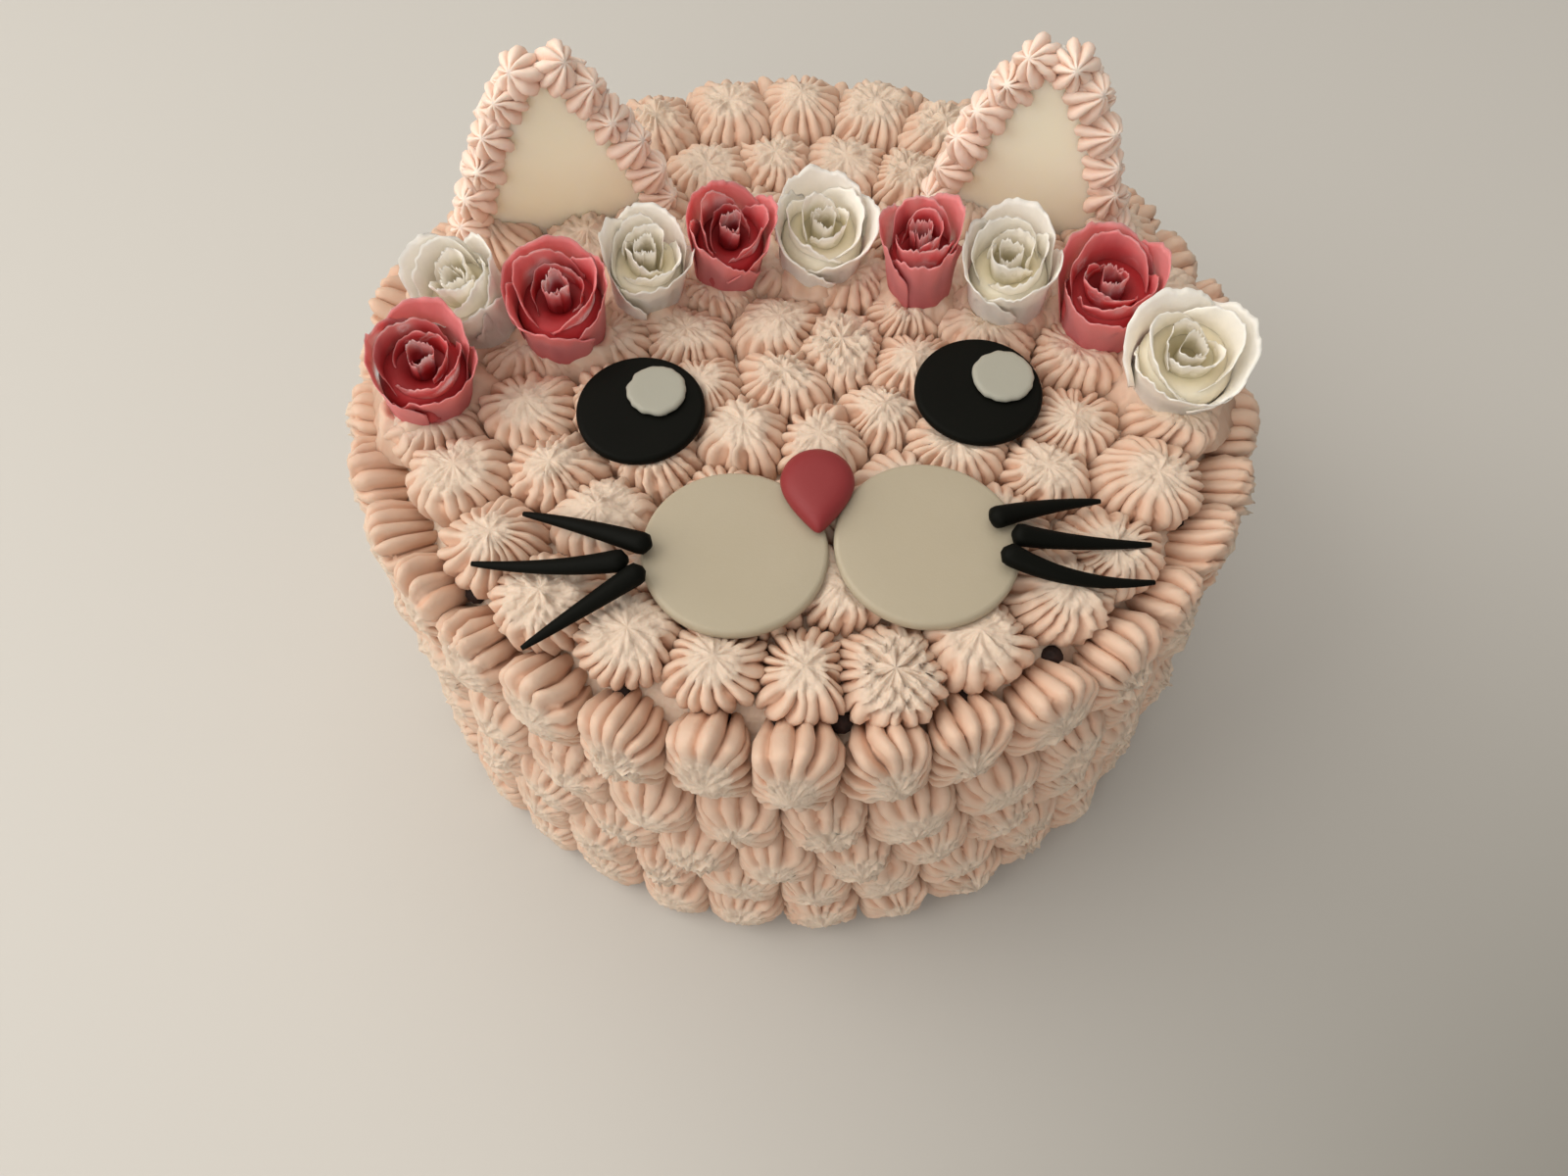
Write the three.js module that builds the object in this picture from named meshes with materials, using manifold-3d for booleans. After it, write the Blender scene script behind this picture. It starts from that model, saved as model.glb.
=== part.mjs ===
// A round cake piped all over with ribbed cream stars, decorated as a cat's face:
// two standing ears edged with small stars, an arc of ten sugar roses,
// and flat eyes, cheeks, a nose and whiskers.
// Millimetres, +Z up, the face looks up and towards -Y. The origin is the middle of the flat underside.
import * as THREE from "three";
import { mergeVertices } from "three/addons/utils/BufferGeometryUtils.js";
import Module from "manifold-3d";

const wasm = await Module();
wasm.setup();

// ---- driving dimensions ----
const gap = 0.3; // clearance kept between touching pieces
const cake = { topRadius: 87, baseRadius: 91, height: 98, wide: 1.03 }; // wide: how much wider than deep
// A star: rib length and groove depth at its foot, and the smooth crown its ribs run up to.
const star = {
  ribs: 5, radius: 8.8, groove: 0.74, height: 11, crownRadius: 6.2, crownHeight: 7.4, lip: 0.12,
};
const pressed = { across: 0.83, along: 1.08 }; // side stars are squeezed by their neighbours in the row
// Rings of stars on the top, from the rim inwards: distance from the axis, number, angle of the first.
const topRings = [
  { radius: 78.7, count: 28, first: -0.6 },
  { radius: 60, count: 22, first: 7 },
  { radius: 42.5, count: 15, first: 2 },
  { radius: 25, count: 10, first: 8 },
  { radius: 9.5, count: 3, first: -25 },
];
// Rows of stars round the side, from the top down: height of their middles, number, angle of the first.
const sideRows = [
  { height: 88.5, count: 35, first: -0.9 },
  { height: 68.0, count: 32, first: 2.6 },
  { height: 49.0, count: 35, first: -3.6 },
  { height: 30.0, count: 35, first: 1.9 },
  { height: 10.6, count: 34, first: 2.9 },
];
const discBed = 109.9; // height of the star tips, on which the flat pieces rest
const cheeks = [
  { name: "cheek_left", x: -13.7, y: -56.1, radius: 18.6, thick: 2.4, tilt: 0, sides: 24 },
  { name: "cheek_right", x: 24.1, y: -54.4, radius: 18.6, thick: 2.4, tilt: 1, sides: 24 },
];
const eyes = [
  { name: "eye_left", x: -34.2, y: -21.3, radius: 13.6, thick: 2.0, tilt: 2, sides: 20 },
  { name: "eye_right", x: 37.3, y: -16.4, radius: 13.6, thick: 2.0, tilt: 3, sides: 20 },
];
const glints = [
  { name: "glint_left", eye: 0, x: 3.4, y: 3.6, radius: 6.3, thick: 1.4, sides: 14 },
  { name: "glint_right", eye: 1, x: 5.1, y: 2.6, radius: 6.5, thick: 1.4, sides: 14 },
];
const nose = { x: 2.7, y: -41.6, width: 15, length: 19.6, thick: 4.2, sides: 14 };
const whisker = { endRadius: 2.1, tipRadius: 0.55, around: 6, along: 4 };
// Each whisker runs from its thick end on the cheek, past a bend, to its point on the cream.
const whiskers = [
  { name: "whisker_left_1", points: [[-30.6, -54.6], [-43.2, -50.0], [-56.2, -45.3]] },
  { name: "whisker_left_2", points: [[-35.2, -58.6], [-48.4, -59.0], [-65.1, -56.9]] },
  { name: "whisker_left_3", points: [[-31.4, -62.2], [-42.4, -68.4], [-53.3, -75.4]] },
  { name: "whisker_right_1", points: [[37.1, -48.2], [47.5, -45.4], [59.7, -42.3]] },
  { name: "whisker_right_2", points: [[39.8, -53.2], [52.6, -53.4], [68.4, -52.6]] },
  { name: "whisker_right_3", points: [[39.2, -58.1], [51.6, -61.4], [67.8, -61.1]] },
];
const ears = [
  { side: "left", x: -55.3, y: 41.0, halfWidth: 24.5, height: 47, yaw: 13 },
  { side: "right", x: 52.7, y: 41.0, halfWidth: 22.0, height: 49, yaw: -15 },
];
// The tip is blunt: half its width, and the bulge of the edges.
// The beads are the stars piped along the edges.
const ear = { foot: 103, thick: 3.4, tip: 4, bulge: 2.5, bead: 5.5, pitch: 9, beadRibs: 4 };
// The roses, from left to right: foot on the cake, rim radius, height,
// and how far each leans forwards and to the right in degrees.
const roseFoot = 104.5;
const roses = [
  { name: "rose_pink_1", x: -80.9, y: -14.0, rim: 11.0, height: 24, lean: 9.5, roll: 9 },
  { name: "rose_white_1", x: -70.2, y: 8.5, rim: 10.0, height: 25, lean: 13, roll: -10 },
  { name: "rose_pink_2", x: -53.1, y: 4.3, rim: 10.8, height: 25, lean: 9, roll: 3 },
  { name: "rose_white_2", x: -36.6, y: 16.2, rim: 9.4, height: 24, lean: 11, roll: 6 },
  { name: "rose_pink_3", x: -17.8, y: 22.4, rim: 9.0, height: 24, lean: 15, roll: 6 },
  { name: "rose_white_3", x: 3.8, y: 24.5, rim: 11.2, height: 24, lean: 11, roll: 4 },
  { name: "rose_pink_4", x: 26.9, y: 17.1, rim: 8.4, height: 25, lean: 6, roll: -4 },
  { name: "rose_white_4", x: 46.4, y: 14.2, rim: 10.2, height: 24, lean: 9.5, roll: -6 },
  { name: "rose_pink_5", x: 67.4, y: 7.1, rim: 11.2, height: 25, lean: 8, roll: -6 },
  { name: "rose_white_5", x: 79.6, y: -10.6, rim: 11.8, height: 21, lean: 14, roll: -2 },
];
// Shares of a rose's rim radius or height.
const rose = { sides: 8, foot: 0.7, belly: 0.9, bellyHeight: 0.4, well: 0.74 };

const colours = {
  cream: { color: "#f3cdb8", roughness: 0.55 },
  sugarWhite: { color: "#efe4cc", roughness: 0.5 },
  sugarPink: { color: "#c4545a", roughness: 0.5 },
  sugarBlack: { color: "#1c1b18", roughness: 0.45 },
};

// ---- small helpers ----
const radians = THREE.MathUtils.degToRad;
const materialOf = (finish) => new THREE.MeshStandardMaterial({ ...colours[finish], metalness: 0 });
// A repeatable number from 0 to 1 for each whole number.
const chance = (n) => {
  const s = Math.sin(n * 12.9898 + 78.233) * 43758.5453;
  return s - Math.floor(s);
};
const swing = (n) => 2 * chance(n) - 1;

// A closed solid of revolution about Z from [radius, height] pairs, from the lowest point to the highest.
function turned(profile, sides) {
  const points = profile.map(([r, z]) => new THREE.Vector2(r, z));
  return new THREE.LatheGeometry(points, sides).rotateX(Math.PI / 2);
}

function toSolid(geometry, matrix) {
  const bare = new THREE.BufferGeometry();
  bare.setAttribute("position", geometry.getAttribute("position").clone());
  if (geometry.index) bare.setIndex(geometry.index.clone());
  if (matrix) bare.applyMatrix4(matrix);
  const merged = mergeVertices(bare, 1e-4);
  const triVerts = new Uint32Array(merged.index.array);
  const vertProperties = new Float32Array(merged.getAttribute("position").array);
  return new wasm.Manifold(new wasm.Mesh({ numProp: 3, vertProperties, triVerts }));
}

function toGeometry(solid) {
  const mesh = solid.getMesh();
  const geometry = new THREE.BufferGeometry();
  const places = new Float32Array(mesh.numVert * 3);
  for (let i = 0; i < mesh.numVert; i++) {
    places.set(mesh.vertProperties.subarray(i * mesh.numProp, i * mesh.numProp + 3), i * 3);
  }
  geometry.setAttribute("position", new THREE.BufferAttribute(places, 3));
  geometry.setIndex(new THREE.BufferAttribute(new Uint32Array(mesh.triVerts), 1));
  geometry.computeVertexNormals();
  return geometry;
}

const joined = (solids) => wasm.Manifold.union(solids);
const biggestBody = (solid) =>
  solid.decompose().reduce((best, next) => (next.volume() > best.volume() ? next : best));

function named(name, geometry, finish) {
  const mesh = new THREE.Mesh(geometry, materialOf(finish));
  mesh.name = name;
  return mesh;
}

// Moves every vertex of a geometry by a rule on its position.
function moved(geometry, rule) {
  const place = geometry.getAttribute("position");
  const v = new THREE.Vector3();
  for (let i = 0; i < place.count; i++) {
    v.fromBufferAttribute(place, i);
    rule(v);
    place.setXYZ(i, v.x, v.y, v.z);
  }
  return geometry;
}

// Whether a point of a star turned with two steps to a rib lies in a groove, not on a rib or on the axis.
function inGroove(v, ribs) {
  if (Math.hypot(v.x, v.y) < 1e-4) return false;
  const turn = (Math.atan2(v.x, -v.y) / Math.PI) * ribs;
  return Math.abs(Math.round(turn)) % 2 === 1;
}

// ---- the piped cream ----
// One star, foot down at the origin: ribs and grooves at the foot that meet in a smooth crown.
function starSolid() {
  const { ribs, radius, groove, height, crownRadius, crownHeight, lip } = star;
  const count = 2 * ribs;
  const places = [];
  const addPoint = (r, turn, z) => places.push(r * Math.sin(turn), -r * Math.cos(turn), z);
  for (const z of [-3 * lip, lip]) {
    for (let i = 0; i < count; i++) addPoint(radius * (i % 2 === 0 ? 1 : groove), (Math.PI * i) / ribs, z);
  }
  for (let i = 0; i < ribs; i++) addPoint(crownRadius, (2 * Math.PI * i) / ribs, crownHeight);
  addPoint(0, 0, height);
  addPoint(0, 0, -3 * lip);
  const [apex, foot] = [5 * ribs, 5 * ribs + 1];
  const faces = [];
  for (let i = 0; i < count; i++) {
    const next = (i + 1) % count;
    faces.push(foot, next, i, i, next, count + next, i, count + next, count + i);
  }
  for (let i = 0; i < ribs; i++) {
    const [rib, dip, nextRib] = [count + 2 * i, count + 2 * i + 1, count + ((2 * i + 2) % count)];
    const [crown, nextCrown] = [2 * count + i, 2 * count + ((i + 1) % ribs)];
    faces.push(rib, dip, crown, dip, nextRib, nextCrown, dip, nextCrown, crown, crown, nextCrown, apex);
  }
  const mesh = { numProp: 3, vertProperties: new Float32Array(places), triVerts: new Uint32Array(faces) };
  return new wasm.Manifold(new wasm.Mesh(mesh));
}

// Wall radius of the cake under the stars at a height.
const wallRadius = (z) => cake.baseRadius + ((cake.topRadius - cake.baseRadius) * z) / cake.height;

function topPlaces() {
  const places = [];
  topRings.forEach((ring, k) => {
    for (let i = 0; i < ring.count; i++) {
      const seed = 100 * (k + 1) + i;
      const angle = radians(ring.first + (360 * i) / ring.count + 1.2 * swing(seed));
      const radius = ring.radius + 0.7 * swing(seed + 0.3);
      const place = new THREE.Matrix4()
        .makeTranslation(radius * Math.sin(angle), -radius * Math.cos(angle), cake.height)
        .multiply(new THREE.Matrix4().makeRotationZ(Math.PI * 2 * chance(seed + 0.6)));
      places.push(place.scale(new THREE.Vector3(1, 1, 1 + 0.06 * swing(seed + 0.9))));
    }
  });
  return places;
}

function sidePlaces() {
  const places = [];
  sideRows.forEach((row, k) => {
    const lowest = k === sideRows.length - 1;
    for (let i = 0; i < row.count; i++) {
      const seed = 1000 + 100 * k + i;
      const angle = radians(row.first + (360 * i) / row.count + 0.6 * swing(seed));
      const height = row.height + (lowest ? 0 : 0.6 * swing(seed + 0.3));
      const radius = wallRadius(height);
      const facing = Math.atan2(Math.sin(angle), cake.wide * Math.cos(angle));
      const place = new THREE.Matrix4()
        .makeTranslation(cake.wide * radius * Math.sin(angle), -radius * Math.cos(angle), height)
        .multiply(new THREE.Matrix4().makeRotationZ(facing))
        .multiply(new THREE.Matrix4().makeRotationX(Math.PI / 2))
        .scale(new THREE.Vector3(pressed.across, pressed.along, 1 + 0.06 * swing(seed + 0.9)))
        .multiply(new THREE.Matrix4().makeRotationZ(Math.PI * 2 * chance(seed + 0.6)));
      places.push(place);
    }
  });
  return places;
}

// The cake under the cream: one drum for each row of stars, with a flat side behind every star.
function drums() {
  const edges = sideRows.slice(1).map((row, k) => (row.height + sideRows[k].height) / 2);
  return sideRows.map((row, k) => {
    const [low, high] = [edges[k] ?? 0, edges[k - 1] ?? cake.height];
    const corner = wallRadius(row.height) / Math.cos(Math.PI / row.count);
    const drum = turned([[0, low], [corner, low], [corner, high], [0, high]], row.count);
    return toSolid(drum.rotateZ(radians(row.first + 180 / row.count)).scale(cake.wide, 1, 1));
  });
}

function cakeBody() {
  const oneStar = starSolid();
  const stars = [...topPlaces(), ...sidePlaces()].map((place) => oneStar.transform(place.elements));
  return joined([...drums(), ...stars]).trimByPlane([0, 0, 1], 0);
}

// ---- flat pieces ----
// A tilted piece is lifted until its lowest edge rests on the star tips.
const liftOf = (d) => discBed + d.radius * Math.sin(radians(Math.abs(d.tilt)));

function discGeometry({ radius, thick, sides }) {
  const edge = thick * 0.3;
  return turned([[0, 0], [radius, 0], [radius, thick - edge], [radius - edge, thick], [0, thick]], sides);
}

function discGroup(d, lift) {
  const group = new THREE.Group();
  group.position.set(d.x, d.y, lift);
  group.rotation.x = radians(d.tilt);
  return group;
}

function noseGeometry() {
  const { width, length, thick, sides } = nose;
  const profile = [[0, 0], [0.92, 0], [1, thick * 0.3], [0.82, thick * 0.8], [0.4, thick], [0, thick]];
  return moved(turned(profile, sides), (v) => {
    // A drop: round at the back, drawn to a blunt point at the front.
    const forward = Math.max(0, -v.y);
    v.x *= (width / 2) * (1 - 0.72 * forward ** 1.6);
    v.y *= v.y < 0 ? length * 0.6 : length * 0.4;
  });
}

// ---- whiskers ----
function whiskerGeometry(w, grow = 0) {
  const high = liftOf(cheeks[1]) + cheeks[1].thick + 2 * gap + whisker.endRadius;
  const low = discBed + gap + whisker.tipRadius;
  const heights = [high, (high + low) / 2 + 0.2, low];
  const line = new THREE.CatmullRomCurve3(w.points.map(([x, y], i) => new THREE.Vector3(x, y, heights[i])));
  const { endRadius, tipRadius, around, along } = whisker;
  const steps = along + 1;
  const profile = [[0, 0]];
  for (let i = 0; i <= steps; i++) {
    const t = i / steps;
    const round = Math.min(1, 0.45 + 3.2 * t);
    profile.push([(endRadius + (tipRadius - endRadius) * t) * round + grow, t]);
  }
  profile.push([0, 1]);
  return moved(turned(profile, around), (v) => {
    const t = THREE.MathUtils.clamp(v.z, 0, 1);
    const centre = line.getPoint(t);
    const along3 = line.getTangent(t);
    const side = new THREE.Vector3(0, 0, 1).cross(along3).normalize();
    const up = along3.clone().cross(side);
    const [a, b] = [v.x, v.y];
    v.copy(centre).addScaledVector(side, a).addScaledVector(up, b);
  });
}

// ---- ears ----
// Half outline of an ear: from the foot to the blunt tip, with a gently bowed edge.
function earEdge(e, t) {
  const bow = ear.bulge * Math.sin(Math.PI * t);
  return new THREE.Vector2(e.halfWidth + (ear.tip - e.halfWidth) * t + bow, e.height * t);
}

// The flat of an ear; grow widens its outline, deep sets its thickness.
function earPanelGeometry(e, grow = 0, deep = ear.thick) {
  const steps = 6;
  const half = [];
  for (let i = 0; i <= steps; i++) {
    const p = earEdge(e, i / steps);
    half.push(new THREE.Vector2(p.x + grow, i === 0 ? -grow : p.y + grow));
  }
  const mirrored = half.map((p) => new THREE.Vector2(-p.x, p.y)).reverse();
  const outline = new THREE.Shape([...half, ...mirrored]);
  const geometry = new THREE.ExtrudeGeometry(outline, { depth: deep, bevelEnabled: false });
  return geometry.translate(0, 0, -deep / 2).rotateX(Math.PI / 2);
}

function earGroup(e) {
  const group = new THREE.Group();
  group.position.set(e.x, e.y, ear.foot);
  group.rotation.z = radians(e.yaw);
  return group;
}

// Small stars piped up both edges of an ear to its tip, in the ear's own frame.
function earPiping(e) {
  const count = Math.round(Math.hypot(e.halfWidth - ear.tip, e.height) / ear.pitch);
  const beads = [];
  for (const sign of [-1, 1]) {
    for (let i = 0; i <= count; i++) {
      const seed = 3000 + sign * (i + 1) + e.height;
      const p = earEdge(e, 1 - i / count);
      const r = ear.bead * (0.94 + 0.06 * swing(seed));
      const bead = moved(turned([[0, -r], [r, 0], [0, r]], ear.beadRibs * 2), (v) => {
        if (inGroove(v, ear.beadRibs)) v.multiplyScalar(0.8);
      });
      const matrix = new THREE.Matrix4()
        .makeTranslation(sign * (p.x + 1.2), -0.4, p.y + 1.4)
        .multiply(new THREE.Matrix4().makeRotationX(Math.PI / 2))
        .multiply(new THREE.Matrix4().makeRotationZ(Math.PI * 2 * chance(seed + 0.5)));
      beads.push(toSolid(bead, matrix));
    }
  }
  const rope = toSolid(earPanelGeometry(e, 2.6));
  const panelRoom = toSolid(earPanelGeometry(e, gap, ear.thick + 2 * gap));
  const band = joined([rope, ...beads]).subtract(panelRoom).trimByPlane([0, 0, 1], 0);
  return biggestBody(band).asOriginal().simplify(0.4);
}

// Room in the cream for the foot of an ear and its piping.
function earRoom(e) {
  const group = earGroup(e);
  group.updateMatrix();
  const wide = 2 * (e.halfWidth + ear.bead + 2 * gap + 1);
  const deep = 2 * (ear.bead * 1.15 + gap);
  const box = new THREE.BoxGeometry(wide, deep, 60).translate(0, -0.4, 30 - gap);
  return toSolid(box, group.matrix);
}

// ---- roses ----
// A rolled rose: a cup of outer petals, a ring of inner petals and a bud, with lobed rims.
function roseGeometry(r, seed) {
  const { rim, height } = r;
  const profile = [
    [0, 0], [rim * rose.foot, 0], [rim * rose.belly, height * rose.bellyHeight], [rim, height * 0.96],
    [rim * rose.well, height * 0.74], [rim * 0.55, height * 0.97],
    [rim * 0.36, height * 0.74], [0, height * 1.02],
  ];
  const turn = Math.PI * 2 * chance(seed);
  return moved(turned(profile, rose.sides), (v) => {
    const radius = Math.hypot(v.x, v.y);
    if (radius < 1e-6 || v.z < height * 0.45) return;
    const outer = radius > rim * 0.75 ? 1 : -1;
    const lobe = Math.cos(4 * (Math.atan2(v.y, v.x) + turn) + (outer > 0 ? 0 : Math.PI));
    v.z += 0.045 * height * lobe;
    const spread = 1 - 0.05 * (1 - outer * lobe);
    v.x *= spread;
    v.y *= spread;
  });
}

function roseGroup(r) {
  const group = new THREE.Group();
  group.position.set(r.x, r.y, roseFoot);
  group.rotation.set(radians(r.lean), radians(r.roll), 0, "YXZ");
  return group;
}

// Room in the cream for the foot of a rose.
function roseRoom(r) {
  const group = roseGroup(r);
  group.updateMatrix();
  const [foot, belly, top] = [rose.foot, rose.belly, 1].map((share) => r.rim * share + 1.3 * gap);
  const { height } = r;
  const profile = [[0, -gap], [foot, -gap], [belly, height * rose.bellyHeight], [top, height], [0, height]];
  return toSolid(turned(profile, rose.sides), group.matrix);
}

// ---- assembly ----
const model = new THREE.Group();

const flats = [...cheeks, ...eyes];
let cream = cakeBody();
for (const r of roses) cream = cream.subtract(roseRoom(r));
for (const e of ears) cream = cream.subtract(earRoom(e));
model.add(named("piped_cake", toGeometry(biggestBody(cream).asOriginal().simplify(0.2)), "cream"));

const eyeGroups = [];
for (const d of flats) {
  const group = discGroup(d, liftOf(d));
  const finish = d.name.startsWith("eye") ? "sugarBlack" : "sugarWhite";
  group.add(named(d.name, discGeometry(d), finish));
  if (d.name.startsWith("eye")) eyeGroups.push(group);
  model.add(group);
}
for (const g of glints) {
  const glint = named(g.name, discGeometry(g), "sugarWhite");
  glint.position.set(g.x, g.y, eyes[g.eye].thick + gap);
  eyeGroups[g.eye].add(glint);
}

const noseMesh = named("nose", noseGeometry(), "sugarPink");
noseMesh.position.set(nose.x, nose.y, liftOf(cheeks[1]) + cheeks[1].thick + 2 * gap);
model.add(noseMesh);

for (const w of whiskers) model.add(named(w.name, whiskerGeometry(w), "sugarBlack"));

for (const e of ears) {
  const group = earGroup(e);
  group.add(named(`ear_${e.side}`, earPanelGeometry(e), "sugarWhite"));
  group.add(named(`ear_piping_${e.side}`, toGeometry(earPiping(e)), "cream"));
  model.add(group);
}

roses.forEach((r, i) => {
  const group = roseGroup(r);
  group.add(named(r.name, roseGeometry(r, 50 + i), r.name.includes("pink") ? "sugarPink" : "sugarWhite"));
  model.add(group);
});

export default model;
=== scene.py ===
import math

import bmesh
import bpy
import numpy as np
from mathutils import Matrix, Vector, noise


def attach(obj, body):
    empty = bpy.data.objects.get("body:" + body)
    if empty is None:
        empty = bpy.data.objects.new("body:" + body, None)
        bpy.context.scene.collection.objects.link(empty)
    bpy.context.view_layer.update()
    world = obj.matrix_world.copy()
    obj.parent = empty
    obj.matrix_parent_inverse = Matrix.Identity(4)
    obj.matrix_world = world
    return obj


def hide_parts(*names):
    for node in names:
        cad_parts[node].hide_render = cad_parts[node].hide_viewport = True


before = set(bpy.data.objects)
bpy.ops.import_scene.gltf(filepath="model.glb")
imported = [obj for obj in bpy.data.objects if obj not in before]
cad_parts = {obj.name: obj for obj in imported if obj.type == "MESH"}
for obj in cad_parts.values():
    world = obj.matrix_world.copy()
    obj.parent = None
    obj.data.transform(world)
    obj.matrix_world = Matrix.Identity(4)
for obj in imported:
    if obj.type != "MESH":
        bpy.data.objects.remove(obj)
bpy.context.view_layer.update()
mm = 0.001
fullTurn = 2 * math.pi
noise.seed_set(5)  # without a seed noise_vector starts from the clock and differs in every run


# A repeatable number from 0 to 1, by the same rule as in the solids.
def chance(n):
    s = math.sin(n * 12.9898 + 78.233) * 43758.5453
    return s - math.floor(s)


# The same from -1 to 1.
def swing(n):
    return 2 * chance(n) - 1


def smooth(low, high, x):
    t = np.clip((x - low) / (high - low), 0, 1)
    return t * t * (3 - 2 * t)


# Spins a line of (radius, height) pairs round the upright axis into a closed body. A ring is a line that ends
# where it starts.
def spinProfile(bm, profile, steps, ring=False):
    spine = [bm.verts.new((r, 0, z)) for r, z in profile]
    following = spine[1:] + spine[:1] if ring else spine[1:]
    edges = [bm.edges.new(pair) for pair in zip(spine, following)]
    bmesh.ops.spin(bm, geom=spine + edges, cent=(0, 0, 0), axis=(0, 0, 1), angle=fullTurn,
                   steps=steps, use_merge=True)
    if not ring:
        bmesh.ops.remove_doubles(bm, verts=bm.verts, dist=1e-4)


# Every piece is shaped in millimetres and becomes metres here.
def objectFrom(bm, name, material, replaced):
    bmesh.ops.scale(bm, vec=(mm, mm, mm), verts=bm.verts)
    bmesh.ops.recalc_face_normals(bm, faces=bm.faces)
    mesh = bpy.data.meshes.new(name)
    bm.to_mesh(mesh)
    bm.free()
    mesh.shade_smooth()
    piece = bpy.data.objects.new(name, mesh)
    bpy.context.scene.collection.objects.link(piece)
    mesh.materials.append(material)
    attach(piece, "root")
    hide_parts(replaced)
    return piece


def coordsOf(mesh):
    co = np.empty(len(mesh.vertices) * 3)
    mesh.vertices.foreach_get("co", co)
    return co.reshape(-1, 3)


# Moves the points of a piece to their places in millimetres and stores how deep in a crease each lies, which
# sets its painted shade.
def placePoints(piece, points, creases):
    piece.data.vertices.foreach_set("co", np.ascontiguousarray(points * mm, dtype=np.float64).ravel())
    piece.data.update()
    layer = piece.data.attributes.new("crease", "FLOAT", "POINT")
    layer.data.foreach_set("value", creases)


# A soft, repeatable wobble of points in millimetres: a few crossed waves with random directions.
def wobble(points, size, seed, count=5):
    rng = np.random.default_rng(seed)
    total = np.zeros(len(points))
    for _ in range(count):
        direction = rng.normal(size=3)
        direction /= np.linalg.norm(direction)
        perMm = fullTurn / (size * rng.uniform(0.75, 1.4))
        total += np.sin(points @ direction * perMm + rng.uniform(0, fullTurn))
    return total / count ** 0.5


def linear(hexColour, alpha=1.0):
    parts = [int(hexColour[i:i + 2], 16) / 255 for i in (1, 3, 5)]
    return (*[c / 12.92 if c <= 0.04045 else ((c + 0.055) / 1.055) ** 2.4 for c in parts], alpha)


def addNode(tree, kind, settings=None, links=None):
    node = tree.nodes.new(kind)
    for key, value in (settings or {}).items():
        if isinstance(key, int) or key in node.inputs:
            node.inputs[key].default_value = value
        else:
            setattr(node, key, value)
    for key, source in (links or {}).items():
        tree.links.new(source, node.inputs[key])
    return node


def newMaterial(name):
    material = bpy.data.materials.new(name)
    material.use_nodes = True
    tree = material.node_tree
    tree.nodes.clear()
    output = tree.nodes.new("ShaderNodeOutputMaterial")
    shader = tree.nodes.new("ShaderNodeBsdfPrincipled")
    tree.links.new(shader.outputs["BSDF"], output.inputs["Surface"])
    place = tree.nodes.new("ShaderNodeTexCoord")
    return material, tree, shader, place.outputs["Object"]


# Uniform values go straight on the shader's sockets, and what varies is linked to them.
def setShader(tree, shader, values, links):
    for key, value in values.items():
        shader.inputs[key].default_value = value
    for key, source in links.items():
        tree.links.new(source, shader.inputs[key])


# A noise whose clouds are about so many millimetres across.
def cloudNoise(tree, place, size, detail, roughness=0.5):
    settings = {"Scale": 1 / (size * mm), "Detail": detail, "Roughness": roughness}
    return addNode(tree, "ShaderNodeTexNoise", settings, {"Vector": place})


# A mix of two colours, each of them a hex value or a linked socket, by a linked share.
def mixColours(tree, share, first, second):
    node = addNode(tree, "ShaderNodeMix", {"data_type": "RGBA"}, {0: share})
    for key, colour in ((6, first), (7, second)):
        if isinstance(colour, str):
            node.inputs[key].default_value = linear(colour)
        else:
            tree.links.new(colour, node.inputs[key])
    return node.outputs[2]


creamLook = {
    "hub": "#dac6b3",
    "ridge": "#d8c0ac",
    "middle": "#d6b7a1",
    # painted shade: the darker, warmer colour of the creases and of the lower parts of the stars
    "crease": "#d3a589",
    "roughness": 0.52,
    "scatter": 0.25,
    "scatterDepth": 2.0,  # mm
    "grainSize": 1.1,  # mm
    "pitSize": 4.2,  # mm
    "grainDepth": 1.5,  # mm
    "ribRelief": 0.2,
    "hubRelief": 0.9,
}
# A paler copy of the cream for the ear piping: painted light on the ears, with painted shade in its creases.
litEarCreamLook = {**creamLook, "hub": "#fbeadd", "ridge": "#f9e4d6", "middle": "#f7dccc", "crease": "#e6bfa9"}
ribDepth = 0.3  # the crease attribute runs from 0 on the torn hubs over this on the ribs to 1 in the creases, where it paints shade
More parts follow.
